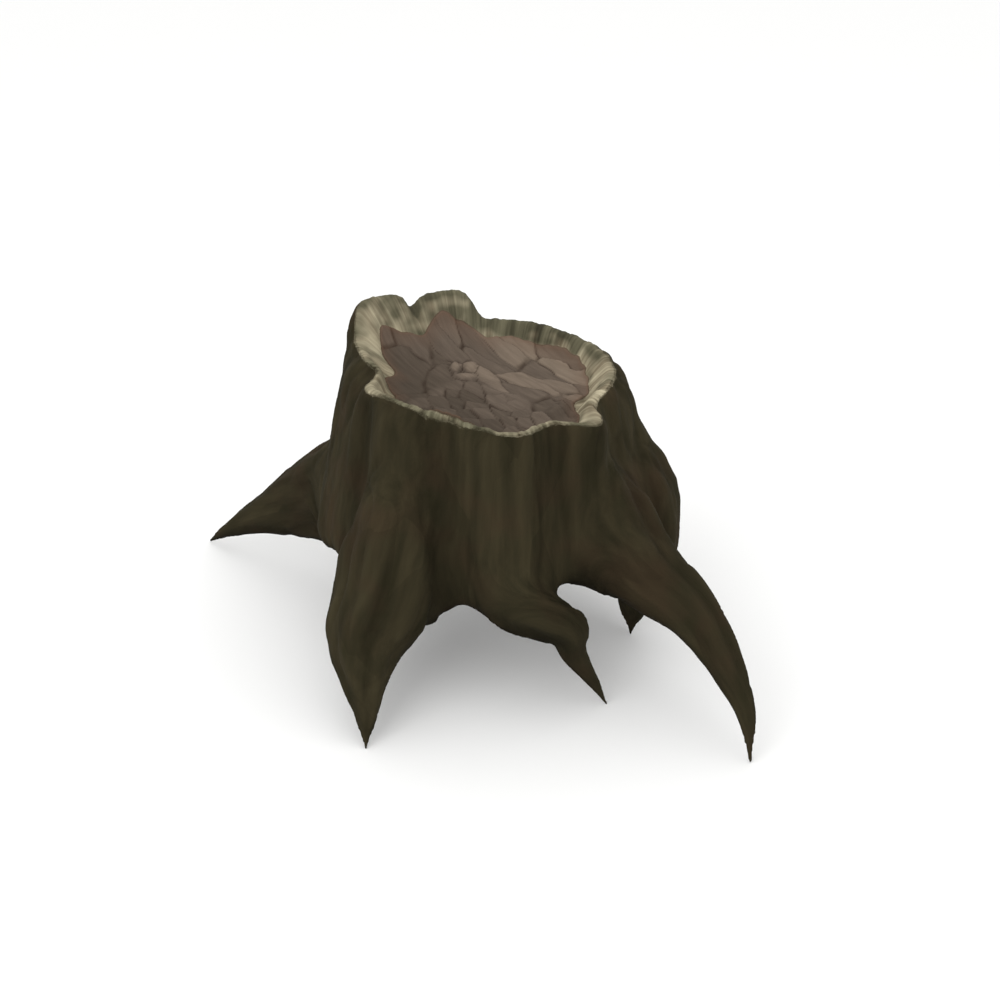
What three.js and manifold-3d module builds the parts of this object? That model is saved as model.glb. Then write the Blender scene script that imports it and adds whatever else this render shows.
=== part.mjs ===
// A tree stump with its roots laid bare, grown and weathered as one piece of wood.
// Millimetres, +Z up. The tips of the roots stand on z = 0, under the middle of the piece.
// Azimuths are in degrees, turned from +X towards +Y about the trunk's axis.
import * as THREE from 'three';
import { ParametricGeometry } from 'three/addons/geometries/ParametricGeometry.js';
import { mergeVertices } from 'three/addons/utils/BufferGeometryUtils.js';
import Module from 'manifold-3d';

// The trunk is round at heart, and each lobe is [azimuth, width in degrees, how far it swells].
const trunk = {
  rimRadius: 190,
  rimLobes: [
    [8, 34, 32], [107, 12, 16], [146, 22, 58], [188, 10, -18],
    [201, 8, 13], [246, 22, -28], [285, 15, 30], [316, 9, 54],
  ],
  rimHeight: 510,
  rimTilt: 15, // the broken rim leans, and is highest at tiltAzimuth
  tiltAzimuth: 125,
  rimTongues: [[110.5, 16.3, 46], [140.8, 14.3, 51], [45, 30, 6]], // two tongues and a low rise
  cleft: [[126.6, 2, -20]], // the split between the two tongues
  baseRadius: 222,
  baseLobes: [[6, 36, 68], [72, 26, 18], [158, 32, 60], [184, 16, 14], [200, 24, 14], [259, 13, -20]],
  baseHeight: 190, // height of the trunk's lower edge, between the roots
  baseArches: [
    [20, 36, 25], [112, 24, 30], [155, 22, -18], [226, 20, -44],
    [246, 13, -42], [262, 16, -14], [318, 14, 6],
  ],
  flare: 0.62, // below 1, the trunk widens soon under the rim and then falls steeply
  crestWidth: 14,
  crestDrop: 10,
  hemWidth: 22,
  hemHeight: 20,
};

// The sunken heartwood, and the hollow where the soil has gone from under the trunk.
const heart = {
  centreHeight: 470,
  edgeHeight: 464,
  backRise: 56, // the heartwood climbs towards the tongues
  backAzimuth: 118,
  radiusBase: 75,
  radiusShare: 0.45, // the heartwood's radius grows by this share of the rim's
};
const underHeight = 235;

// Each root is a row of [x, y, z, half width, half depth], from inside the trunk to its tip.
const rootTip = 5;
const buried = -8; // the tips run this far below the ground before they are cut level
const roots = {
  left: [
    [-50, 10, 350, 70, 100], [-165, 76, 262, 82, 112], [-258, 138, 192, 60, 105],
    [-340, 188, 145, 42, 73], [-430, 235, 91, 26, 35], [-500, 270, 40, 14, 15],
    [-547, 294, buried, rootTip, rootTip],
  ],
  frontLeft: [
    [-62, -58, 440, 50, 50], [-104, -102, 350, 80, 76], [-134, -138, 265, 95, 84],
    [-158, -189, 190, 90, 74], [-184, -226, 138, 70, 62], [-188, -266, 88, 42, 40],
    [-184, -304, 44, 21, 21], [-184, -339, buried, rootTip, rootTip],
  ],
  centre: [
    [-16, -98, 400, 40, 44], [-4, -132, 318, 50, 54], [10, -162, 248, 49, 54],
    [50, -204, 196, 46, 54], [96, -218, 175, 41, 50], [136, -220, 150, 35, 37],
    [149, -222, 102, 22, 22], [180, -222, 48, 12, 12], [209, -221, buried, rootTip, rootTip],
  ],
  right: [
    [84, -48, 450, 50, 56], [146, -86, 352, 74, 84], [200, -118, 275, 82, 90],
    [270, -168, 220, 58, 62], [334, -226, 190, 43, 45], [380, -287, 138, 31, 32],
    [412, -335, 77, 15, 16], [422, -371, buried, rootTip, rootTip],
  ],
  backRight: [
    [80, 8, 400, 60, 80], [182, 14, 345, 82, 91], [252, 12, 261, 76, 88],
    [281, 2, 200, 57, 62], [277, -7, 128, 48, 47], [266, -15, 60, 29, 28],
    [261, -24, buried, rootTip, rootTip],
  ],
  back: [
    [20, 80, 360, 70, 90], [62, 185, 262, 76, 88], [96, 265, 187, 54, 60],
    [115, 330, 115, 36, 38], [128, 375, 50, 18, 20], [135, 400, buried, rootTip, rootTip],
  ],
};
const trunkSides = 64;
const rootSides = 12;
const rootSteps = 18;
const seamSlack = 0.3; // the sliver edges that a join leaves are drawn together within this

const barkMaterial = new THREE.MeshStandardMaterial({ color: 0x362f25, roughness: 0.85, metalness: 0 });

// The sum of bell-shaped lobes at an azimuth. A higher power gives a flatter top and steeper sides.
function lobes(list, azimuth, power = 2) {
  let sum = 0;
  for (const [centre, width, swell] of list) {
    const away = THREE.MathUtils.euclideanModulo(azimuth - centre + 180, 360) - 180;
    sum += swell * Math.exp(-(Math.abs(away / width) ** power));
  }
  return sum;
}

// The trunk's radii and heights at one azimuth.
function sectionAt(azimuth) {
  const lean = Math.cos(THREE.MathUtils.degToRad(azimuth - trunk.tiltAzimuth));
  const rise = (1 + Math.cos(THREE.MathUtils.degToRad(azimuth - heart.backAzimuth))) / 2;
  const rim = trunk.rimRadius + lobes(trunk.rimLobes, azimuth);
  return {
    rim,
    rimTop: trunk.rimHeight + trunk.rimTilt * lean
      + lobes(trunk.rimTongues, azimuth, 6) + lobes(trunk.cleft, azimuth),
    base: trunk.baseRadius + lobes(trunk.baseLobes, azimuth),
    baseEdge: trunk.baseHeight + lobes(trunk.baseArches, azimuth),
    heart: heart.radiusBase + heart.radiusShare * rim,
    heartEdge: heart.edgeHeight + heart.backRise * rise ** 3,
  };
}

// The trunk's outline, from the middle of the underside round to the middle of the top.
// Each stretch gives [radius, height] as t goes from 0 to 1.
const { lerp } = THREE.MathUtils;
const quarter = Math.PI / 2;
const outline = [
  { rows: 5, at: (s, t) => [
    (s.base - trunk.hemWidth) * t,
    lerp(s.baseEdge, underHeight, Math.cos(t * quarter)),
  ] },
  { rows: 2, at: (s, t) => [
    s.base - trunk.hemWidth * (1 - Math.sin(t * quarter)),
    s.baseEdge + trunk.hemHeight * (1 - Math.cos(t * quarter)),
  ] },
  { rows: 12, at: (s, t) => [
    lerp(s.rim, s.base, (1 - t) ** trunk.flare),
    lerp(s.baseEdge + trunk.hemHeight, s.rimTop - trunk.crestDrop, t),
  ] },
  { rows: 3, at: (s, t) => [
    s.rim - trunk.crestWidth * (1 - Math.cos(t * quarter)),
    s.rimTop - trunk.crestDrop * (1 - Math.sin(t * quarter)),
  ] },
  { rows: 4, at: (s, t) => [
    lerp(s.rim - trunk.crestWidth, s.heart, t),
    lerp(s.rimTop, s.heartEdge, 1 - (1 - t) ** 0.8),
  ] },
  { rows: 5, at: (s, t) => [
    s.heart * (1 - t),
    lerp(heart.centreHeight, s.heartEdge, (1 - t) ** 3),
  ] },
];
const outlineRows = outline.reduce((sum, stretch) => sum + stretch.rows, 0);

function outlineAt(section, v) {
  let row = v * outlineRows;
  for (const stretch of outline) {
    if (row <= stretch.rows) return stretch.at(section, row / stretch.rows);
    row -= stretch.rows;
  }
  return outline.at(-1).at(section, 1);
}

function trunkGeometry() {
  const surface = (u, v, target) => {
    const [radius, height] = outlineAt(sectionAt((u % 1) * 360), v);
    const angle = (u % 1) * 2 * Math.PI;
    target.set(radius * Math.cos(angle), radius * Math.sin(angle), height);
  };
  return new ParametricGeometry(surface, trunkSides, outlineRows);
}

// A root is an ellipse carried along a smooth path. Its upper side is carried with it, square to the path,
// and the first and last rings close to a point so that both ends are capped.
function rootGeometry(stations) {
  const curveOf = (points) => new THREE.CatmullRomCurve3(points, false, 'catmullrom', 0.5);
  const path = curveOf(stations.map(([x, y, z]) => new THREE.Vector3(x, y, z)));
  const girth = curveOf(stations.map(([, , , wide, deep]) => new THREE.Vector3(wide, deep, 0)));
  const rings = [];
  const up = new THREE.Vector3(0, 0, 1);
  for (let step = 0; step <= rootSteps; step += 1) {
    const t = step / rootSteps;
    const along = path.getTangent(t);
    up.addScaledVector(along, -up.dot(along)).normalize();
    const across = new THREE.Vector3().crossVectors(up, along);
    const size = girth.getPoint(t);
    rings.push({ centre: path.getPoint(t), up: up.clone(), across, size });
  }
  const surface = (u, v, target) => {
    const row = Math.round(v * (rootSteps + 2));
    const ring = rings[THREE.MathUtils.clamp(row - 1, 0, rootSteps)];
    const open = row > 0 && row < rootSteps + 2 ? 1 : 0;
    const angle = (u % 1) * 2 * Math.PI;
    target.copy(ring.centre)
      .addScaledVector(ring.across, open * ring.size.x * Math.cos(angle))
      .addScaledVector(ring.up, open * ring.size.y * Math.sin(angle));
  };
  return new ParametricGeometry(surface, rootSides, rootSteps + 2);
}

const wasm = await Module();
wasm.setup();

// A closed geometry as a solid: shared corners are merged, and faces with no area are left out.
function solidOf(geometry) {
  const bare = geometry.clone();
  bare.deleteAttribute('normal');
  bare.deleteAttribute('uv');
  const merged = mergeVertices(bare, 1e-3);
  const corners = merged.index.array;
  const faces = [];
  for (let i = 0; i < corners.length; i += 3) {
    const [a, b, c] = corners.subarray(i, i + 3);
    if (a !== b && b !== c && c !== a) faces.push(a, b, c);
  }
  return new wasm.Manifold(new wasm.Mesh({
    numProp: 3,
    vertProperties: merged.attributes.position.array,
    triVerts: new Uint32Array(faces),
  }));
}

function geometryOf(solid) {
  const { vertProperties, triVerts, numProp } = solid.getMesh();
  const position = new Float32Array((vertProperties.length / numProp) * 3);
  for (let i = 0; i < position.length / 3; i += 1) {
    position.set(vertProperties.subarray(i * numProp, i * numProp + 3), i * 3);
  }
  return new THREE.BufferGeometry()
    .setAttribute('position', new THREE.BufferAttribute(position, 3))
    .setIndex(new THREE.BufferAttribute(triVerts, 1));
}

// The trunk and its roots become one solid, and the ground cuts the tips of the roots level.
function stumpGeometry() {
  let solid = solidOf(trunkGeometry());
  for (const stations of Object.values(roots)) {
    solid = solid.add(solidOf(rootGeometry(stations)));
  }
  const groundSize = 2000;
  const ground = new THREE.BoxGeometry(groundSize, groundSize, groundSize);
  ground.translate(0, 0, -groundSize / 2);
  return geometryOf(solid.subtract(solidOf(ground)).simplify(seamSlack));
}

const stumpShape = stumpGeometry();
stumpShape.computeBoundingBox();
const middle = stumpShape.boundingBox.getCenter(new THREE.Vector3());
stumpShape.translate(-middle.x, -middle.y, 0);
stumpShape.computeVertexNormals();

const stump = new THREE.Mesh(stumpShape, barkMaterial);
stump.name = 'stump';

const treeStump = new THREE.Group();
treeStump.name = 'tree_stump';
treeStump.add(stump);

export default treeStump;
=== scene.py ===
import bmesh
import bpy
import numpy as np
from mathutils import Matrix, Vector


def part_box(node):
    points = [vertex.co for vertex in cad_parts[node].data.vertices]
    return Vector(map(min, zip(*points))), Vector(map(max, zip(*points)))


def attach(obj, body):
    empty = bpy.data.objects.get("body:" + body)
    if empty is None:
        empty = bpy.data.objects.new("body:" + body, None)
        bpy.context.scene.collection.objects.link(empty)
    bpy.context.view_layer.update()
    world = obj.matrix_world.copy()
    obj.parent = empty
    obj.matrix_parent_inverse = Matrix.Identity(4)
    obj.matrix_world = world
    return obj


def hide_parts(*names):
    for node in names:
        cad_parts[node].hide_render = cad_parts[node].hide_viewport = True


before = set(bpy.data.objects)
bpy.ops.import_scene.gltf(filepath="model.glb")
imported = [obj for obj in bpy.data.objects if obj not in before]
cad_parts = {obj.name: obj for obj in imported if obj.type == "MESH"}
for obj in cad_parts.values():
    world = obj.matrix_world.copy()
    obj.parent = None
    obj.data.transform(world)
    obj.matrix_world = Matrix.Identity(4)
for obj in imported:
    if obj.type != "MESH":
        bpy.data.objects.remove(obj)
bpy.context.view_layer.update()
metre = 1000.0  # in millimetres
print("frame loaded")


def ramp(low, high, values):
    # 0 below low, 1 above high, with an S-shaped rise between: 3t^2 - 2t^3
    t = np.clip((values - low) / (high - low), 0, 1)
    return t * t * (3 - 2 * t)


def scatter(cells, seed):
    # a whole-number hash of each cell's coordinates, even over 0 to 2^31
    primes = np.array([73856093, 19349663, 83492791][: cells.shape[1]], np.int64)
    mixed = cells @ primes + seed * 668265263
    mixed = ((mixed ^ (mixed >> 13)) * 1274126177) & 0x7FFFFFFF
    mixed = ((mixed ^ (mixed >> 16)) * 974634777) & 0x7FFFFFFF
    return mixed ^ (mixed >> 15)


def noise(points, seed):
    # gradient noise: each corner of a unit cell has a random slope, and the eight slopes blend smoothly
    cell = np.floor(points).astype(np.int64)
    inside = points - cell
    fade = inside ** 3 * (inside * (inside * 6 - 15) + 10)
    total = np.zeros(len(points))
    for corner in np.ndindex(2, 2, 2):
        mixed = scatter(cell + corner, seed)
        turn = (mixed & 1023) * (2 * np.pi / 1024)
        lift = ((mixed >> 10) & 1023) / 511.5 - 1
        flat = np.sqrt(1 - lift ** 2)
        slope = np.stack([flat * np.cos(turn), flat * np.sin(turn), lift], axis=1)
        share = np.prod(np.where(corner, fade, 1 - fade), axis=1)
        total += share * ((inside - corner) * slope).sum(axis=1)
    return total * 1.6


def flatNoise(flat, size, seed, level=0):
    # the same noise over x and y, with grains of a size in mm, on one level
    return noise(np.column_stack([flat / size, np.full(len(flat), level)]), seed)


def layeredNoise(points, layers, seed):
    # each layer is twice as fine and half as strong as the one before
    return sum(noise(points * 2 ** k, seed + k) / 2 ** k for k in range(layers))


def plates(points, seed):
    # Every unit cell holds one seed point, and a place belongs to the nearest. Returns how far the place is
    # from a crack (where two seeds are equally near), the owner's own random number, and the way to it.
    cell = np.floor(points).astype(np.int64)
    first = np.full(len(points), 9.0)
    second = first.copy()
    owner = np.zeros(len(points))
    way = np.zeros_like(points)
    for step in np.ndindex((3,) * points.shape[1]):
        near = cell + np.array(step) - 1
        mixed = scatter(near, seed)
        jitter = np.stack([(mixed >> (10 * k)) & 1023 for k in range(points.shape[1])], axis=1) / 1023
        to = near + 0.15 + 0.7 * jitter - points
        far = np.linalg.norm(to, axis=1)
        closer = far < first
        second = np.where(closer, first, np.minimum(second, far))
        first = np.where(closer, far, first)
        owner = np.where(closer, (mixed * 7 % 997) / 996, owner)
        way = np.where(closer[:, None], to, way)
    return second - first, owner, way


def lobes(rows, azimuth, power=2):
    # a sum of bells: swell * exp(-|distance / width|^power), each row [azimuth, width, swell]
    total = np.zeros_like(azimuth)
    for centre, width, swell in rows:
        away = np.mod(azimuth - centre + 180, 360) - 180
        total += swell * np.exp(-np.abs(away / width) ** power)
    return total


def leaningLobes(rows, turn, share):
    # bells whose place moves from a first angle to a second as share goes from 0 to 1
    total = np.zeros_like(turn)
    for first, second, width, swell in rows:
        away = np.mod(turn - (first + (second - first) * share) + 180, 360) - 180
        total += swell * np.exp(-(away / width) ** 2)
    return total


trunk = {
    # lobes are rows of azimuth, width in degrees and swell in mm
    "rimRadius": 190,
    "rimLobes": [
        (8, 34, 32), (107, 12, 16), (146, 22, 58), (188, 10, -18),
        (201, 8, 13), (246, 22, -28), (285, 15, 30), (317.5, 9, 58),
    ],
    "rimHeight": 510,
    "rimTilt": 15,         # the rim stands this much higher towards the tilt's azimuth
    "tiltAzimuth": 125,
    "rimTongues": [(110.5, 16.3, 46), (140.8, 14.3, 51), (45, 30, 6)],  # tall flat-topped parts of the rim
    "cleft": [(126.6, 2, -20)],                                         # the split between two tongues
    "baseRadius": 222,
    "baseLobes": [(6, 36, 68), (72, 26, 18), (158, 32, 60), (184, 16, 14), (200, 24, 14), (259, 13, -20)],
    "baseHeight": 190,
    "baseArches": [
        (20, 36, 25), (112, 24, 30), (155, 22, -18), (226, 20, -44), (247, 13, -48),
        (262, 16, -14), (318, 14, 6),
    ],
    "flare": 0.62,         # under 1 the side spreads quickly below the rim, then falls straight
    "crestWidth": 14, "crestDrop": 10,
    "hemWidth": 22, "hemHeight": 20,
    "heartCentre": 470, "heartEdge": 464,
    "heartRise": 56, "heartAzimuth": 118,  # the heartwood climbs this much against the tongues
    "heartRadius": 75, "heartShare": 0.45,
    "underHeight": 235,    # the hollow under the trunk
}


def trunkSection(azimuth):
    # the trunk's radii and heights at each azimuth: a base value plus its lobes
    t = trunk
    lean = np.cos(np.radians(azimuth - t["tiltAzimuth"]))
    rise = (1 + np.cos(np.radians(azimuth - t["heartAzimuth"]))) / 2
    crestRadius = t["rimRadius"] + lobes(t["rimLobes"], azimuth)
    tongues = lobes(t["rimTongues"], azimuth, 6) + lobes(t["cleft"], azimuth)
    return {
        "rim": crestRadius,
        "top": t["rimHeight"] + t["rimTilt"] * lean + tongues,
        "base": t["baseRadius"] + lobes(t["baseLobes"], azimuth),
        "edge": t["baseHeight"] + lobes(t["baseArches"], azimuth),
        "heart": t["heartRadius"] + t["heartShare"] * crestRadius,
        "heartEdge": t["heartEdge"] + t["heartRise"] * rise ** 3,
    }


def sideRadius(section, height):
    # the bark's radius: rim + (base - rim) * share^flare, where share runs from 0 at the rim to 1 at the base
    low = section["edge"] + trunk["hemHeight"]
    high = section["top"] - trunk["crestDrop"]
    share = np.clip((high - height) / (high - low), 0, 1)
    return section["rim"] + (section["base"] - section["rim"]) * share ** trunk["flare"]


def trunkSurface(sides=360):
    # The outline is walked from under the middle, out to the hem, up the bark, over the crest, down the
    # broken wall and in over the heartwood, at every azimuth at once.
    azimuth = np.arange(sides) * 360 / sides
    s = trunkSection(azimuth)
    t = trunk
    rows = []
    for u in np.linspace(0, 1, 40)[1:]:
        height = t["underHeight"] + (s["edge"] - t["underHeight"]) * (1 - np.cos(u * np.pi / 2))
        rows.append(((s["base"] - t["hemWidth"]) * u, height))
    for u in np.linspace(0, np.pi / 2, 8)[1:]:
        rows.append((
            s["base"] - t["hemWidth"] * (1 - np.sin(u)),
            s["edge"] + t["hemHeight"] * (1 - np.cos(u)),
        ))
    for u in np.linspace(0, 1, 70)[1:]:
        low = s["edge"] + t["hemHeight"]
        height = low + (s["top"] - t["crestDrop"] - low) * u
        rows.append((sideRadius(s, height), height))
    for u in np.linspace(0, np.pi / 2, 8)[1:]:
        rows.append((
            s["rim"] - t["crestWidth"] * (1 - np.cos(u)),
            s["top"] - t["crestDrop"] * (1 - np.sin(u)),
        ))
    for u in np.linspace(0, 1, 16)[1:]:
        crest = s["rim"] - t["crestWidth"]
        rows.append((
            crest + (s["heart"] - crest) * u,
            s["top"] + (s["heartEdge"] - s["top"]) * (1 - (1 - u) ** 0.8),
        ))
    for u in np.linspace(0, 1, 30)[1:-1]:
        rows.append((
            s["heart"] * (1 - u),
            t["heartCentre"] + (s["heartEdge"] - t["heartCentre"]) * (1 - u) ** 3,
        ))
    radius, height = np.array(rows).transpose(1, 0, 2)
    turn = np.radians(azimuth)
    rings = np.stack([radius * np.cos(turn), radius * np.sin(turn), height], axis=-1)
    return closedShell(rings, (0, 0, t["underHeight"]), (0, 0, t["heartCentre"]))


def closedShell(rings, start, end):
    # a grid of rings, closed at each end by a fan of triangles to one point
    rows, sides = rings.shape[:2]
    points = np.concatenate([rings.reshape(-1, 3), [start, end]])
    here = np.arange(sides)
    after = (here + 1) % sides
    low = np.arange(rows - 1)[:, None] * sides
    quads = np.stack([low + here, low + after, low + sides + after, low + sides + here], axis=-1)
    lastRing = (rows - 1) * sides
    startFan = np.stack([np.full(sides, rows * sides), after, here], axis=-1)
    endFan = np.stack([np.full(sides, rows * sides + 1), lastRing + here, lastRing + after], axis=-1)
    return points, quads.reshape(-1, 4), np.concatenate([startFan, endFan])


# Each root is a row of stations from inside the trunk to the tip: x, y, z, half width, half depth.
roots = {
    "left": [
        (-50, 10, 350, 70, 100), (-165, 76, 262, 82, 112), (-258, 138, 192, 60, 105),
        (-340, 188, 145, 42, 73), (-430, 235, 91, 26, 35), (-500, 270, 40, 14, 15), (-546, 293, 0, 5, 5),
    ],
    "frontLeft": [
        (-62, -58, 440, 50, 50), (-104, -102, 350, 80, 76), (-134, -138, 265, 95, 84),
        (-158, -189, 190, 90, 74), (-184, -226, 138, 70, 62), (-188, -266, 88, 42, 40),
        (-184, -304, 44, 21, 21), (-184, -337, 0, 5, 5),
    ],
    "centre": [
        (-16, -98, 400, 40, 44), (-4, -132, 318, 50, 54), (10, -162, 248, 49, 54), (50, -204, 196, 46, 54),
        (96, -218, 175, 41, 50), (136, -220, 150, 35, 37), (149, -222, 102, 22, 22), (180, -222, 48, 12, 12),
        (208, -221, -5, 5, 5),
    ],
    "right": [
        (84, -48, 450, 50, 56), (146, -86, 352, 74, 84), (200, -118, 275, 82, 90), (270, -168, 220, 58, 62),
        (334, -226, 190, 43, 45), (380, -287, 138, 31, 32), (412, -335, 77, 15, 16), (422, -369, 0, 5, 5),
    ],
    "backRight": [
        (80, 8, 400, 60, 80), (182, 14, 345, 82, 91), (252, 12, 261, 76, 88),
        (281, 2, 200, 57, 62), (277, -7, 128, 48, 47), (266, -15, 60, 29, 28), (261, -23, -2, 5, 5),
    ],
    "back": [
        (20, 80, 360, 70, 90), (62, 185, 262, 76, 88), (96, 265, 187, 54, 60),
        (115, 330, 115, 36, 38), (128, 375, 50, 18, 20), (135, 400, 0, 5, 5),
    ],
}

# Folds of bark that run along a root: angle round the root where it leaves the trunk and at its tip (90 is
# its upper side), width, swell.
rootFolds = {
    "left": [(134, 134, 18, 5), (100, 100, 16, -4), (60, 70, 20, 4), (200, 190, 20, -4), (20, 30, 20, -5)],
    "frontLeft": [(97, 112, 15, 7), (119, 140, 9, -8), (160, 168, 16, 4), (74, 66, 10, -4), (45, 30, 16, 3)],
    "centre": [(57, 57, 24, 5), (100, 90, 16, -4), (140, 130, 22, 4), (10, 20, 20, -4)],
    "right": [(76, 36, 17, 6), (104, 66, 12, -6), (128, 100, 18, 5), (165, 150, 16, -5), (20, 0, 16, -4)],
    "backRight": [(50, 30, 18, 5), (80, 70, 14, -5), (120, 120, 20, 5), (0, 0, 18, -4)],
    "back": [(95, 95, 18, 6), (65, 60, 12, -5), (35, 30, 18, 4), (130, 130, 14, -5), (160, 160, 18, 4)],
}


def smoothRow(stations, steps):
    # a curve through every station (Catmull-Rom), the ends carried on straight
    rows = np.array(stations, float)
    whole = np.vstack([2 * rows[0] - rows[1], rows, 2 * rows[-1] - rows[-2]])
    place = np.linspace(0, len(rows) - 1, steps)
    index = np.minimum(place.astype(int), len(rows) - 2)
    u = (place - index)[:, None]
    a, b, c, d = (whole[index + k] for k in range(4))
    square = 2 * a - 5 * b + 4 * c - d
    cube = 3 * b - a - 3 * c + d
    return 0.5 * (2 * b + (c - a) * u + square * u ** 2 + cube * u ** 3)


def rootPath(stations, steps=160):
    # The upper side is carried along the curve, square to it at every step.
    row = smoothRow(stations, steps)
    centre = row[:, :3]
    along = np.gradient(centre, axis=0)
    along /= np.linalg.norm(along, axis=1)[:, None]
    up = np.array([0.0, 0.0, 1.0])
    ups = []
    for direction in along:
        up = up - (up @ direction) * direction
        up /= np.linalg.norm(up)
        ups.append(up)
    ups = np.array(ups)
    length = np.concatenate([[0], np.cumsum(np.linalg.norm(np.diff(centre, axis=0), axis=1))])
    return {
        "centre": centre, "along": along, "up": ups, "across": np.cross(along, ups),
        "wide": row[:, 3], "deep": row[:, 4], "length": length,
    }


def rootSurface(path, sides=64):
    # an ellipse carried along the path: centre + wide cos(a) across + deep sin(a) up
    turn = -np.arange(sides) * 2 * np.pi / sides
    wide = path["wide"][:, None, None] * np.cos(turn)[None, :, None] * path["across"][:, None]
    deep = path["deep"][:, None, None] * np.sin(turn)[None, :, None] * path["up"][:, None]
    return closedShell(path["centre"][:, None] + wide + deep, path["centre"][0], path["centre"][-1])


joining = {
    "voxel": 5.2,                     # the net's spacing once trunk and roots are one skin
    "fineAbove": 436, "fineOut": 4,   # the broken top, to just past the crest, has half that spacing
    "filletRounds": 62,               # more rounds widen the fillets where the roots leave the trunk
    "filletTop": (50, 120), "filletReach": (60, 110), "filletShare": (0.45, 0.7),
    "evenRounds": 3,
}


def joinedMesh(shells):
    # overlapping closed shells become one skin, by a voxel remesh that keeps only what is outside
    points, faces, start = [], [], 0
    for shellPoints, quads, fans in shells:
        points.append(shellPoints)
        faces += (quads + start).tolist() + (fans + start).tolist()
        start += len(shellPoints)
    shellMesh = bpy.data.meshes.new("joining")
    shellMesh.from_pydata(np.concatenate(points) / metre, [], faces)
    shellMesh.update()
    joined = bpy.data.objects.new("joining", shellMesh)
    bpy.context.scene.collection.objects.link(joined)
    remesh = joined.modifiers.new("join", "REMESH")
    remesh.mode = "VOXEL"
    remesh.voxel_size = joining["voxel"] / metre
    evaluated = joined.evaluated_get(bpy.context.evaluated_depsgraph_get())
    mesh = bpy.data.meshes.new_from_object(evaluated)
    bpy.data.objects.remove(joined)
    return mesh


def readPoints(mesh):
    flat = np.empty(len(mesh.vertices) * 3)
    mesh.vertices.foreach_get("co", flat)
    return flat.reshape(-1, 3) * metre


def writePoints(mesh, points):
    mesh.vertices.foreach_set("co", (points / metre).ravel())
    mesh.update()


def readNormals(mesh):
    flat = np.empty(len(mesh.vertices) * 3)
    mesh.vertex_normals.foreach_get("vector", flat)
    return flat.reshape(-1, 3)


def readEdges(mesh):
    flat = np.empty(len(mesh.edges) * 2, int)
    mesh.edges.foreach_get("vertices", flat)
    return flat.reshape(-1, 2)


def neighbourMean(values, edges):
    # the mean of each vertex's neighbours, one column at a time
    size = len(values)
    one, other = edges.T
    count = np.bincount(edges.ravel(), minlength=size)
    columns = [
        np.bincount(one, column[other], size) + np.bincount(other, column[one], size)
        for column in values.T
    ]
    return np.stack(columns, axis=1) / count[:, None]


def relax(mesh, weight, rounds):
    # each round moves every vertex towards its neighbours' mean by its weight
    edges = readEdges(mesh)
    points = readPoints(mesh)
    for _ in range(rounds):
        points += weight[:, None] * (neighbourMean(points, edges) - points)
    writePoints(mesh, points)


def refine(mesh, fine):
    # every edge between two of the fine points is split in two
    chosen = fine[readEdges(mesh)].all(axis=1)
    work = bmesh.new()
    work.from_mesh(mesh)
    picked = [edge for edge, wanted in zip(work.edges, chosen) if wanted]
    bmesh.ops.subdivide_edges(work, edges=picked, cuts=1, use_grid_fill=True)
    work.to_mesh(mesh)
    work.free()


def aboutTrunk(points):
    # azimuth, radius, the trunk's section there, and how far a place stands out from the trunk's own bark or
    # below its edge
    azimuth = np.degrees(np.arctan2(points[:, 1], points[:, 0])) % 360
    radius = np.hypot(points[:, 0], points[:, 1])
    section = trunkSection(azimuth)
    outside = radius - sideRadius(section, points[:, 2])
    below = section["edge"] - points[:, 2]
    return azimuth, radius, section, np.maximum(outside, below)


def aboutRoots(points, paths):
    # For each place, the nearest root: how far along it the place is, the step of its path, the angle round
    # it, the point on its middle line, and the place with the root straightened to hang below where it leaves
    # the trunk.
    best = np.full(len(points), 99.0)
    result = {
        "which": np.zeros(len(points), int), "share": np.zeros(len(points)), "angle": np.zeros(len(points)),
        "straight": points.copy(), "step": np.zeros(len(points), int), "middle": points.copy(),
    }
    for number, path in enumerate(paths):
        leave = int(len(path["centre"]) * 0.2)  # the step where the root leaves the trunk
        centre = path["centre"]
        far = ((points[:, None] - centre[None, ::4]) ** 2).sum(axis=2)
        step = far.argmin(axis=1) * 4
        offset = points - centre[step]
        across = (offset * path["across"][step]).sum(axis=1)
        up = (offset * path["up"][step]).sum(axis=1)
        onward = (offset * path["along"][step]).sum(axis=1)
        sideways, upwards = across / path["wide"][step], up / path["deep"][step]
        outward = centre[leave, :2] / np.linalg.norm(centre[leave, :2])
        tangent = np.array([-outward[1], outward[0]])
        side = np.sign(path["across"][leave, :2] @ tangent)
        drop = path["length"][step] + onward - path["length"][leave]
        flat = centre[leave, :2] + side * across[:, None] * tangent + up[:, None] * outward
        reach = np.hypot(sideways, upwards)
        nearer = reach < best
        best[nearer] = reach[nearer]
        found = {
            "which": np.full(len(points), number),
            "share": step / (len(centre) - 1),
            "angle": np.degrees(np.arctan2(upwards, sideways)),
            "straight": np.column_stack([flat, centre[leave, 2] - drop]),
            "step": step,
            "middle": centre[step] + onward[:, None] * path["along"][step],
        }
        for name, values in found.items():
            result[name][nearer] = values[nearer]
    return result


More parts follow.
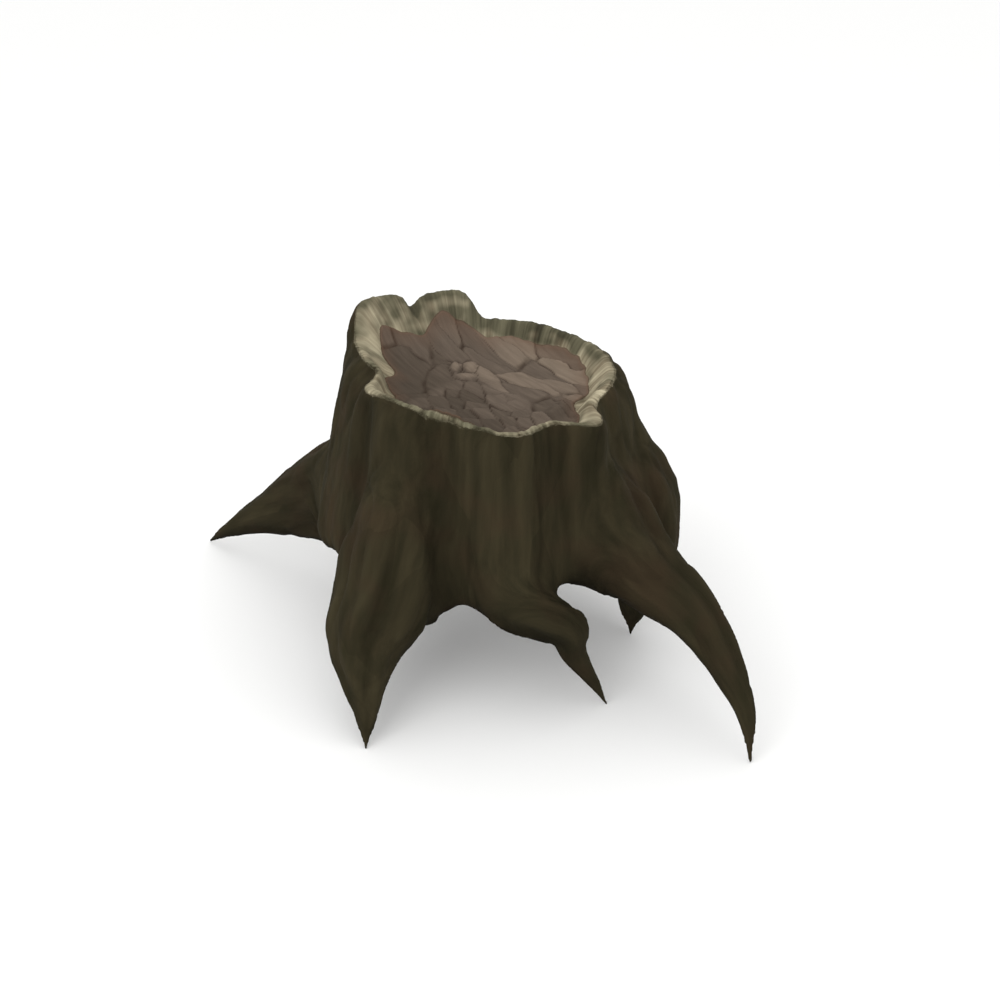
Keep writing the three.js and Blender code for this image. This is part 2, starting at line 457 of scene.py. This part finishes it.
bark = {
    # upright folds: azimuth at the rim, azimuth at the base, width, swell
    "folds": [
        (222, 229, 10, 9), (269, 272, 10, 9), (328, 322, 8, 8), (204, 211, 6, -14), (248, 255, 10, -11),
        (299, 301, 8, -5), (338, 331, 6, -7), (22, 27, 9, 5), (44, 47, 7, -7), (66, 66, 9, 6),
        (88, 92, 7, -7), (124, 120, 4, -10), (104, 108, 8, 4), (143, 148, 9, 5), (158, 164, 12, 5),
        (179, 181, 13, 9), (286, 288, 6, 4), (312, 310, 6, 4), (4, 6, 14, 4), (352, 353, 5, -3),
    ],
    "foldRun": 320,                        # a fold reaches its azimuth at the base this far below the rim
    "waveSize": 38, "waveDepth": 2.6,      # soft waves across the grain
    "strandSize": 44, "strandDepth": 4.2,  # rounded strands with furrows between them
    "ropeSize": 15, "ropeDepth": 1.2,      # cords within a strand
    "fibreSize": 6.5, "fibreDepth": 0.5,   # fibres
    "stretch": 7,                          # the grain is this many times longer than it is wide
    "shadeDepth": 14,                      # relief this deep runs from the darkest shade to the palest
    "driftSize": 80, "drift": 13,          # the strands wander about this far sideways
    "foldedRoot": 60, "barkedRoot": 45,    # roots thinner than these have shallower folds and bark
    "turnsToRoot": (4, 52),                # the grain turns from the trunk's to a root's over this distance
}

heartwood = {
    "flakeAzimuth": -44,     # the long flakes run this way
    "flakesFrom": (4, 34), "flakeLength": 110, "flakeWidth": 27, "flakeStep": 8,
    "slabUntil": (-70, -40), "slabSize": 84, "slabStep": 5,
    "blockLength": 56, "blockWidth": 44, "blockStep": 6,
    "wander": [(14, 70, 41), (4, 22, 42)],  # the plates' edges swing this far, over this size, with a seed
    "tilt": (0.35, -0.75), "crackWidth": 0.13, "crackDepth": 4,  # tilt and width are shares of a plate
    "streakLength": 70, "streakWidth": 6, "streakDepth": 0.8,
    "paleSlope": (0.62, 0.82), "paleRise": 0.0016,  # the face is this much paler a millimetre that way
    "flatFrom": (0.86, 1.0),                # the relief is shallower from this share of the border's radius
    "knobs": [(-46, 74, 10, 19, 5), (-21, 76, 13, 20, 6), (-28, 49, 21, 11, 4)],  # x, y, two radii, height
    "borderLobes": [
        (168, 7, -24), (147, 7, 14), (128, 5, -9), (114, 8, 9), (87, 9, -13), (31, 18, 11),
        (345, 9, -16), (324, 8, 8), (270, 40, 8), (266, 9, 3), (196, 6, -16),
    ],
    "lipWidth": 3.5, "lipRise": 1.8,  # the raised edge along the border
}

rim = {
    "lowest": 440,           # there is only bark below this height
    "splinterSize": 5.5, "splinterDepth": 2.6, "splintSize": 14, "tuftSize": 32,
    "notchSize": 17, "notchDepth": 2.4, "crestReach": 12, "frayDepth": 14, "gutter": 2.5,
    # where the bark is frayed off the crest, and how pale the torn sapwood is: paler on two sides as painted
    # light, and darker at the back as painted shade on a greener tone
    "frayed": [(244, 12, 1.2), (262, 6, 0.8), (205, 6, 0.8), (331, 8, 0.6), (100, 12, 0.6), (30, 9, 0.5)],
    "pale": [
        (165, 14, 0.35), (184, 6, -0.3), (201, 9, 0.45), (150, 8, 0.15), (345, 22, 0.45), (14, 16, 0.25),
        (75, 45, -0.35), (110, 12, -0.2), (264, 13, -0.6), (236, 10, -0.1), (308, 12, -0.3),
    ],
    "stained": [(95, 70, 0.5)], "stainReach": (-18, -2),  # the dark crest at the back, from this far below it
    "blotchSize": (34, 34, 26),
}

tips = {"from": 0.88, "pinch": 0.55, "clear": 20}  # roots are drawn in to a point over their last stretch


def barkRelief(where):
    # folds at their azimuths on the trunk and angles on the roots, and four sizes of pattern along the grain
    b, root, onTrunk = bark, where["root"], where["onTrunk"]
    fall = np.clip((where["section"]["top"] - where["height"]) / b["foldRun"], 0, 1)
    trunkFolds = leaningLobes(b["folds"], where["azimuth"], fall) * ramp(-0.02, 0.12, fall)
    branchFolds = np.zeros_like(fall)
    for number, name in enumerate(roots):
        here = root["which"] == number
        branchFolds[here] = leaningLobes(rootFolds[name], root["angle"][here], root["share"][here])
    branchFolds *= np.minimum(1, where["rootSize"] / b["foldedRoot"])
    folds = trunkFolds * onTrunk + branchFolds * (1 - onTrunk)
    slim = 0.35 + 0.65 * np.minimum(1, where["rootSize"] / b["barkedRoot"])
    slim = slim * (1 - onTrunk) + onTrunk
    sideways = [noise(where["grain"] / b["driftSize"], seed) for seed in (31, 32)]
    bend = where["grain"] / [1, 1, b["stretch"]]
    bend += b["drift"] * np.column_stack(sideways + [np.zeros_like(fall)])
    waves = b["waveDepth"] * noise(bend / b["waveSize"], 1)
    gap, owner = plates(bend / b["strandSize"], 8)[:2]
    strands = b["strandDepth"] * (ramp(-0.1, 0.5, gap) - 0.7 + 0.5 * (owner - 0.5))
    cords = b["ropeDepth"] * (0.6 - 2 * np.abs(noise(bend / b["ropeSize"], 2)))
    fibres = b["fibreDepth"] * noise(bend / b["fibreSize"], 3)
    # the second value is the relief that the material paints as shade in the furrows and as light on the
    # swells
    return folds + slim * (waves + strands + cords + fibres), folds * 0.35 + waves + 0.8 * strands + cords


def alongFlakes(flat):
    # how far a place lies along the heartwood's flakes, and how far across them
    turn = np.radians(heartwood["flakeAzimuth"])
    return flat @ [np.cos(turn), np.sin(turn)], flat @ [-np.sin(turn), np.cos(turn)]


def heartRelief(where):
    # Long flakes on one side, a broad slab, small blocks and a few knobs, each its own height and tilt. The
    # cracks between them open and close along their length.
    h = heartwood
    flat = where["points"][:, :2]
    along, across = alongFlakes(flat)
    bend = sum(swing * flatNoise(flat, size, seed) for swing, size, seed in h["wander"])
    onFlakes = ramp(*h["flakesFrom"], across + 0.25 * np.maximum(along, 0) + 0.6 * bend)
    onSlab = (1 - ramp(*h["slabUntil"], along)) * (1 - onFlakes)
    flakes = np.column_stack([along / h["flakeLength"], (across + bend) / h["flakeWidth"]])
    slabs = (flat + 1.6 * bend[:, None]) / h["slabSize"]
    blocks = np.column_stack([
        (along + 1.5 * across) / h["blockLength"],
        (across - 0.9 * along + 1.6 * bend) / h["blockWidth"],
    ])
    kinds = [
        # how much of each kind there is, the places in plates, a seed, and the step between neighbours
        (onFlakes, flakes, 5, h["flakeStep"]),
        (onSlab, slabs, 9, h["slabStep"]),
        (1 - onFlakes - onSlab, blocks, 6, h["blockStep"]),
    ]
    height, crack, tint = np.zeros((3, len(flat)))
    for share, places, seed, step in kinds:
        gap, owner, way = plates(places, seed)
        height += share * step * (owner - 0.5 + (way * h["tilt"]).sum(axis=1))
        crack += share * (1 - ramp(0, h["crackWidth"], gap))
        tint += share * owner
    crack *= 0.35 + 0.65 * ramp(-0.25, 0.3, flatNoise(flat, 30, 43))
    for x, y, radiusX, radiusY, swell in h["knobs"]:
        facets = 0.22 * flatNoise(flat, 13, 44, x)
        besideX = (flat[:, 0] - x + 0.3 * bend) / radiusX
        besideY = (flat[:, 1] - y - 0.3 * bend) / radiusY
        away = np.hypot(besideX, besideY) + facets
        dome = np.clip(1 - np.maximum(away, 0) ** 3, 0, 1)
        height = height * (1 - ramp(0, 0.4, dome)) + swell * dome
        # the knob's top is painted paler towards its middle: a painted highlight
        tint = tint * (1 - dome) + (0.5 + 0.6 * dome) * dome
        crack = np.where(away < 1, crack * 0.3, np.maximum(crack, 0.8 - ramp(0, 0.3, away - 1)))
    tint = 0.36 + 0.34 * tint + h["paleRise"] * (flat @ h["paleSlope"])
    streak = [along / h["streakLength"], (across + bend) / h["streakWidth"], np.zeros(len(flat))]
    height += h["streakDepth"] * layeredNoise(np.column_stack(streak), 2, 14) - h["crackDepth"] * crack
    return height, np.clip(crack, 0, 1), np.clip(tint, 0, 1)


def rimRelief(where):
    # splinters stand along the crest in tufts, and the wall's fibres run straight down it
    turn = np.radians(where["azimuth"])
    around = np.column_stack([np.cos(turn), np.sin(turn), 0 * turn]) * trunk["rimRadius"]
    down = (where["section"]["rim"] - where["radius"])[:, None] * [0, 0, 1]
    tufts = 0.25 + ramp(-0.2, 0.5, noise((around + down) / rim["tuftSize"], 23))
    splinters = noise(around / rim["splinterSize"] + down / 60, 21)
    splints = noise(around / rim["splintSize"] + down / 70, 24)
    notch = noise(around / rim["notchSize"] + down / 120, 22)
    return (splinters + 0.8 * splints) * tufts, notch


def placesOf(mesh, paths):
    # everything the relief asks about a place: where it is on the trunk, on its root and along the grain
    points = readPoints(mesh)
    azimuth, radius, section, away = aboutTrunk(points)
    root = aboutRoots(points, paths)
    sizes = np.array([np.sqrt(path["wide"] * path["deep"]) for path in paths])
    onTrunk = 1 - ramp(*bark["turnsToRoot"], away)
    return {
        "points": points, "height": points[:, 2], "azimuth": azimuth, "radius": radius, "section": section,
        "away": away, "onTrunk": onTrunk, "root": root, "rootSize": sizes[root["which"], root["step"]],
        "grain": points * onTrunk[:, None] + root["straight"] * (1 - onTrunk[:, None]),
    }


def borderOf(where):
    # the heartwood's outer radius at each azimuth: a fixed part, a share of the rim's and its own lobes
    return where["section"]["heart"] + lobes(heartwood["borderLobes"], where["azimuth"])


def zonesOf(where):
    # heartwood inside its border, sapwood from there to the crest, and bark outside
    fibre, notch = rimRelief(where)
    section = where["section"]
    inside = where["height"] > rim["lowest"]
    pastBorder = where["radius"] - (borderOf(where) + 2.5 * notch)
    fromEdge = section["rim"] - where["radius"]
    frayed = lobes(rim["frayed"], where["azimuth"])
    heart = ramp(-2, 2, -pastBorder) * inside
    wall = ramp(6, 9, fromEdge + 1.5 * fibre + 1.5 * notch)
    depth = rim["frayDepth"] * (0.3 + frayed + 0.35 * notch)
    torn = 1 + (where["height"] - section["top"] + 4) / np.maximum(depth, 2)
    share = 0.56 + 0.2 * frayed
    wall = np.maximum(wall, share * np.clip(torn, 0, 1) * (fromEdge > -14)) * inside
    ridge = np.exp(-(pastBorder / heartwood["lipWidth"]) ** 2)
    lip = (ridge + 0.45 * ramp(-34, -4, pastBorder) * heart) * inside
    return heart, np.clip(wall - heart, 0, 1), np.clip(lip, 0, 1), fibre, notch


def setAttribute(mesh, name, columns):
    layer = mesh.attributes.new(name, "FLOAT_COLOR", "POINT")
    filled = np.ones((len(mesh.vertices), 4))
    filled[:, : len(columns)] = np.stack(columns, axis=1)
    layer.data.foreach_set("color", filled.ravel())


def evenOut(mesh, paths):
    # wide fillets where the roots leave the trunk, then an even net that is finer over the broken top
    j = joining
    where = placesOf(mesh, paths)
    rooty = ramp(*j["filletTop"], where["section"]["top"] - where["height"])
    rooty *= 1 - ramp(*j["filletShare"], where["root"]["share"])
    near = 1 - ramp(*j["filletReach"], where["away"])
    relax(mesh, 0.5 * rooty * near, j["filletRounds"])
    relax(mesh, np.full(len(mesh.vertices), 0.5), j["evenRounds"])
    points = readPoints(mesh)
    radius, section = aboutTrunk(points)[1:3]
    refine(mesh, (points[:, 2] > j["fineAbove"]) & (radius < section["rim"] + j["fineOut"]))
    relax(mesh, 0.5 * (readPoints(mesh)[:, 2] > j["fineAbove"]), 2)


def buildStump():
    # one skin of trunk and roots, raised by each zone's own relief, with what the material reads stored on it
    paths = [rootPath(stations) for stations in roots.values()]
    mesh = joinedMesh([trunkSurface()] + [rootSurface(path) for path in paths])
    print("joined", len(mesh.vertices), "points")
    evenOut(mesh, paths)
    print("refined", len(mesh.vertices), "points")
    where = placesOf(mesh, paths)
    heart, sap, lip, fibre, notch = zonesOf(where)
    barkHeight, barkShade = barkRelief(where)
    heartHeight, crack, tint = heartRelief(where)
    normals = readNormals(mesh)
    onBark = 1 - np.clip(heart + sap, 0, 1)
    inner = 1 - ramp(*heartwood["flatFrom"], where["radius"] / borderOf(where))
    belowTop = where["height"] - where["section"]["top"]
    points = where["points"] + normals * (onBark * barkHeight)[:, None]
    points += normals * (0.5 * (rim["splinterDepth"] * fibre * sap))[:, None]
    crest = np.exp(-(belowTop / rim["crestReach"]) ** 2)
    points[:, 2] += crest * (rim["notchDepth"] * notch + 0.5 * rim["splinterDepth"] * fibre)
    points[:, 2] += (
        heart * (0.3 + 0.7 * inner) * heartHeight
        + heartwood["lipRise"] * lip * heart - rim["gutter"] * lip * sap
    )
    pinch = tips["pinch"] * ramp(tips["from"], 1, where["root"]["share"]) * (where["away"] > tips["clear"])
    points += pinch[:, None] * (where["root"]["middle"] - points) * [1, 1, 0.4]
    points[:, 2] = np.maximum(points[:, 2], 0)
    writePoints(mesh, points)
    relax(mesh, 0.4 * heart, 1)
    print("relief done", points.min(axis=0).round(1), points.max(axis=0).round(1))

    blotch = layeredNoise(where["points"] / rim["blotchSize"], 2, 51)
    stained = ramp(*rim["stainReach"], belowTop) * lobes(rim["stained"], where["azimuth"], 4)
    # paler on two sides of the rim as painted light and darker at its back as painted shade, with random
    # blotches, notches and the dark stained crest
    pale = 0.47 + lobes(rim["pale"], where["azimuth"]) + 0.75 * blotch + 0.12 * notch - stained
    # facing: how far a place looks up, which the bark's colour uses for painted shade on the undersides
    facing = 0.5 + 0.5 * normals[:, 2]
    setAttribute(mesh, "zones", [heart, sap, lip, np.clip(pale, 0, 1)])
    shade = np.clip(0.5 + barkShade / bark["shadeDepth"], 0, 1)
    setAttribute(mesh, "shades", [shade, crack, tint, facing])
    layer = mesh.attributes.new("grain", "FLOAT_VECTOR", "POINT")
    layer.data.foreach_set("vector", (grainOf(where, heart, sap) / metre).ravel())
    return mesh


def grainOf(where, heart, sap):
    # Coordinates in which the third axis runs along the grain: down the bark, in along the rim's wall,
    # and along the flakes of the heartwood.
    turn = np.radians(where["azimuth"])
    out = trunk["rimRadius"]
    wall = np.column_stack([out * np.cos(turn), out * np.sin(turn), where["radius"]])
    along, across = alongFlakes(where["points"][:, :2])
    face = np.column_stack([across, np.zeros(len(across)), along])
    outer = np.where((sap > 0.5)[:, None], wall, where["grain"])
    return np.where((heart > 0.5)[:, None], face, outer)


def placeMesh(mesh):
    # the trunk's axis was the origin until now: the box's middle goes over the frame's
    low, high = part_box("stump")
    points = readPoints(mesh) / metre
    middle = (points.min(axis=0) + points.max(axis=0)) / 2
    shift = np.array((low + high) / 2) - middle
    shift[2] = 0
    writePoints(mesh, (points + shift) * metre)
    return shift


mesh = buildStump()
shift = placeMesh(mesh)
stump = bpy.data.objects.new("stump_wood", mesh)
bpy.context.scene.collection.objects.link(stump)
mesh.polygons.foreach_set("use_smooth", np.ones(len(mesh.polygons), bool))
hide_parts("stump")
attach(stump, "root")
print("stump placed, shifted by", shift.round(4))


wood = {
    # streaks: width and length in mm, the length along the grain, and the layers of finer detail
    "streaks": {
        "strands": (22, 230, 3), "barkFibres": (5, 60, 4),
        "sapFine": (6, 70, 3), "sapBroad": (24, 120, 2),
        "heartFibres": (7, 60, 3),
    },
    "stripsPerMetre": (28, 28, 6.5),  # strips of bark 36 mm wide and 154 mm long, each worn in its own way
    # colours, each with its place on the pattern
    "bark": [(0.3, "292619"), (0.45, "2E2A1D"), (0.58, "332E20"), (0.75, "383324")],
    "redBark": "392B20",
    "paleLitSap": [(0.32, "625745"), (0.44, "817762"), (0.56, "9F967E"), (0.7, "C0B69B")],
    "greenShadedSap": [(0.32, "38352A"), (0.44, "4A4738"), (0.56, "5F5B49"), (0.7, "78745F")],
    "heart": [(0.0, "3A342D"), (0.35, "4C433A"), (0.6, "60554B"), (0.8, "736659"), (1.0, "827566")],
    "crack": "3A3028",
    "lip": "675041",
    "roughness": 0.9, "specular": 0.04,
    "bumpStrength": 0.5, "bumpDistance": 0.002,
}


def linear(colour):
    # an sRGB hex colour as linear RGBA
    parts = [int(colour[k:k + 2], 16) / 255 for k in (0, 2, 4)]
    return tuple(p / 12.92 if p <= 0.04045 else ((p + 0.055) / 1.055) ** 2.4 for p in parts) + (1,)


def addNode(tree, kind, inputs=None, stops=None, **settings):
    node = tree.nodes.new("ShaderNode" + kind)
    for name, value in settings.items():
        setattr(node, name, value)
    for key, value in (inputs or {}).items():
        if isinstance(value, bpy.types.NodeSocket):
            tree.links.new(value, node.inputs[key])
        else:
            node.inputs[key].default_value = value
    if stops:
        elements = node.color_ramp.elements
        while len(elements) < len(stops):
            elements.new(0.5)
        for element, (place, colour) in zip(elements, stops):
            element.position = place
            element.color = linear(colour)
    return node


def barkColour(tree, grain, strands, shade, facing):
    # Damp bark: olive brown strands with redder patches, strips that are worn each in its own way, painted
    # shade in the furrows and on the undersides, and painted light on the swells between the furrows.
    place = addNode(tree, "TexCoord").outputs["Object"]
    patches = addNode(tree, "TexNoise", {"Vector": place, "Scale": 11, "Detail": 2}).outputs["Fac"]
    tone = addNode(tree, "ValToRGB", {0: strands}, stops=wood["bark"]).outputs[0]
    redness = addNode(tree, "MapRange", {0: patches, 1: 0.48, 2: 0.7, 4: 0.4}).outputs[0]
    reddened = {0: redness, 6: tone, 7: linear(wood["redBark"])}
    colour = addNode(tree, "Mix", reddened, data_type="RGBA").outputs[2]
    strips = addNode(tree, "Mapping", {0: grain, 3: wood["stripsPerMetre"]}).outputs[0]
    wander = addNode(tree, "TexNoise", {"Vector": strips, "Scale": 0.7}).outputs["Color"]
    bent = addNode(tree, "Mix", {0: 0.3, 4: strips, 5: wander}, data_type="VECTOR").outputs[1]
    strip = addNode(tree, "TexVoronoi", {"Vector": bent, "Scale": 1}).outputs["Color"]
    stripTone = addNode(tree, "SeparateColor", {0: strip}).outputs[0]
    worn = addNode(tree, "MapRange", {0: stripTone, 3: 0.87, 4: 1.09}).outputs[0]
    # painted shade in the furrows and painted highlight on the swells, from the relief's depth
    swell = addNode(tree, "MapRange", {0: shade, 1: 0.2, 2: 0.8, 3: 0.82, 4: 1.08}).outputs[0]
    fold = addNode(tree, "Math", {0: swell, 1: worn}, operation="MULTIPLY").outputs[0]
    # painted shade on the undersides, darker the more a place faces down
    under = addNode(tree, "MapRange", {0: facing, 1: 0.15, 2: 0.5, 3: 0.35, 4: 1.0}).outputs[0]
    wornAndPaintedShade = addNode(tree, "Math", {0: fold, 1: under}, operation="MULTIPLY").outputs[0]
    return addNode(tree, "VectorMath", {0: colour, "Scale": wornAndPaintedShade}, operation="SCALE").outputs[0]


def heartColour(tree, fibres, crack, tint, lip):
    # Heartwood: mauve-brown plates each of its own tone, faint streaks, dark cracks and a reddish border.
    plate = addNode(tree, "ValToRGB", {0: tint}, stops=wood["heart"]).outputs[0]
    streaked = addNode(tree, "MapRange", {0: fibres, 1: 0.3, 2: 0.7, 3: 0.85, 4: 1.15}).outputs[0]
    tone = addNode(tree, "VectorMath", {0: plate, "Scale": streaked}, operation="SCALE").outputs[0]
    darkened = {0: crack, 6: tone, 7: linear(wood["crack"])}
    cracked = addNode(tree, "Mix", darkened, data_type="RGBA").outputs[2]
    edge = addNode(tree, "Math", {0: lip, 1: 0.55}, operation="MULTIPLY").outputs[0]
    lipped = {0: edge, 6: cracked, 7: linear(wood["lip"])}
    return addNode(tree, "Mix", lipped, data_type="RGBA").outputs[2]


def weatheredWood():
    # One grown piece of wood, all of it dull and rough: dark damp bark outside, pale torn sapwood at the rim
    # and mauve-brown heartwood within.
    material = bpy.data.materials.new("weathered stump wood")
    material.use_nodes = True
    tree = material.node_tree
    tree.nodes.clear()
    zones = addNode(tree, "Attribute", attribute_name="zones")
    heart, sap, lip = addNode(tree, "SeparateColor", {0: zones.outputs["Color"]}).outputs
    shades = addNode(tree, "Attribute", attribute_name="shades")
    shade, crack, tint = addNode(tree, "SeparateColor", {0: shades.outputs["Color"]}).outputs
    grain = addNode(tree, "Attribute", attribute_name="grain").outputs["Vector"]
    streaks = {}
    for name, (width, length, detail) in wood["streaks"].items():
        size = (metre / width, metre / width, metre / length)
        streaks[name] = addNode(tree, "TexNoise", {
            "Vector": addNode(tree, "Mapping", {0: grain, 3: size}).outputs[0],
            "Scale": 1, "Detail": detail, "Roughness": 0.55,
        }).outputs["Fac"]

    # sapwood: fibres 6 mm wide that run down the wall of the broken rim, over broader ones
    sapFibre = addNode(tree, "Mix", {0: 0.55, 2: streaks["sapFine"], 3: streaks["sapBroad"]}).outputs[0]
    # a pale copy of the sapwood as painted light and a darker, greener copy as painted shade, mixed by the
    # pale value
    paleLitSapTone = addNode(tree, "ValToRGB", {0: sapFibre}, stops=wood["paleLitSap"]).outputs[0]
    greenShadedSapTone = addNode(tree, "ValToRGB", {0: sapFibre}, stops=wood["greenShadedSap"]).outputs[0]
    paleness = {0: zones.outputs["Alpha"], 6: greenShadedSapTone, 7: paleLitSapTone}
    sapColour = addNode(tree, "Mix", paleness, data_type="RGBA").outputs[2]

    # the bark ends over the sapwood in a ragged edge that follows the fibres
    ragged = addNode(tree, "Math", {0: sapFibre, 1: 0.8, 2: sap}, operation="MULTIPLY_ADD").outputs[0]
    torn = addNode(tree, "MapRange", {0: ragged, 1: 0.8, 2: 1.12}).outputs[0]
    barkTone = barkColour(tree, grain, streaks["strands"], shade, shades.outputs["Alpha"])
    heartTone = heartColour(tree, streaks["heartFibres"], crack, tint, lip)
    outer = addNode(tree, "Mix", {0: torn, 6: barkTone, 7: sapColour}, data_type="RGBA").outputs[2]
    colour = addNode(tree, "Mix", {0: heart, 6: outer, 7: heartTone}, data_type="RGBA").outputs[2]
    fibreBump = addNode(tree, "Bump", {
        "Strength": wood["bumpStrength"], "Distance": wood["bumpDistance"], "Height": streaks["barkFibres"],
    }).outputs[0]
    shader = addNode(tree, "BsdfPrincipled", {
        "Base Color": colour, "Roughness": wood["roughness"], "Normal": fibreBump,
        "Specular IOR Level": wood["specular"],
    })
    addNode(tree, "OutputMaterial", {0: shader.outputs[0]})
    return material


stump.data.materials.clear()
stump.data.materials.append(weatheredWood())
print("materials made")


studio = {
    # metres, degrees and watts, and millimetres for the lens
    "cameraElevation": 30, "cameraDistance": 2.333, "lens": 50, "sensor": 36,
    "target": (0.029, -0.029, 0.28),  # from the foot of the trunk's axis
    "floorHalf": 20, "floorColour": "F4F4F3", "floorRoughness": 0.9,
    "skyStrength": 1.08,
    # lights: name, place, size, power
    "lights": [
        ("key", (-1.6, -2.2, 2.8), 2.2, 28),
        ("fill", (2.4, -1.4, 1.8), 2.5, 5),
        ("top", (0.2, 0.6, 3.2), 2.5, 9),
    ],
    "lightAim": (0, 0, 0.3),
}


def buildStudio():
    scene = bpy.context.scene
    half = studio["floorHalf"]
    corners = [(x * half, y * half, 0) for x, y in ((-1, -1), (1, -1), (1, 1), (-1, 1))]
    floorMesh = bpy.data.meshes.new("floor")
    floorMesh.from_pydata(corners, [], [(0, 1, 2, 3)])
    floor = bpy.data.objects.new("floor", floorMesh)
    scene.collection.objects.link(floor)
    pale = bpy.data.materials.new("pale matt floor")
    pale.use_nodes = True
    matt = pale.node_tree.nodes["Principled BSDF"].inputs
    matt["Base Color"].default_value = linear(studio["floorColour"])
    matt["Roughness"].default_value = studio["floorRoughness"]
    floorMesh.materials.append(pale)

    world = bpy.data.worlds.new("soft studio")
    world.use_nodes = True
    sky = world.node_tree.nodes["Background"].inputs
    sky["Color"].default_value = (1, 1, 1, 1)
    sky["Strength"].default_value = studio["skyStrength"]
    scene.world = world
    for name, place, size, power in studio["lights"]:
        light = bpy.data.lights.new(name, "AREA")
        light.size = size
        light.energy = power
        lamp = bpy.data.objects.new(name, light)
        lamp.location = place
        aim = Vector(studio["lightAim"]) - Vector(place)
        lamp.rotation_euler = aim.to_track_quat("-Z", "Y").to_euler()
        scene.collection.objects.link(lamp)

    elevation = np.radians(studio["cameraElevation"])
    back = Vector((0, -np.cos(elevation), np.sin(elevation)))
    target = Vector(studio["target"]) + Vector(shift)
    camera = bpy.data.objects.new("camera", bpy.data.cameras.new("camera"))
    camera.data.lens = studio["lens"]
    camera.data.sensor_width = studio["sensor"]
    camera.location = target + back * studio["cameraDistance"]
    camera.rotation_euler = (-back).to_track_quat("-Z", "Y").to_euler()
    scene.collection.objects.link(camera)
    scene.camera = camera
    scene.view_settings.view_transform = "Standard"


buildStudio()
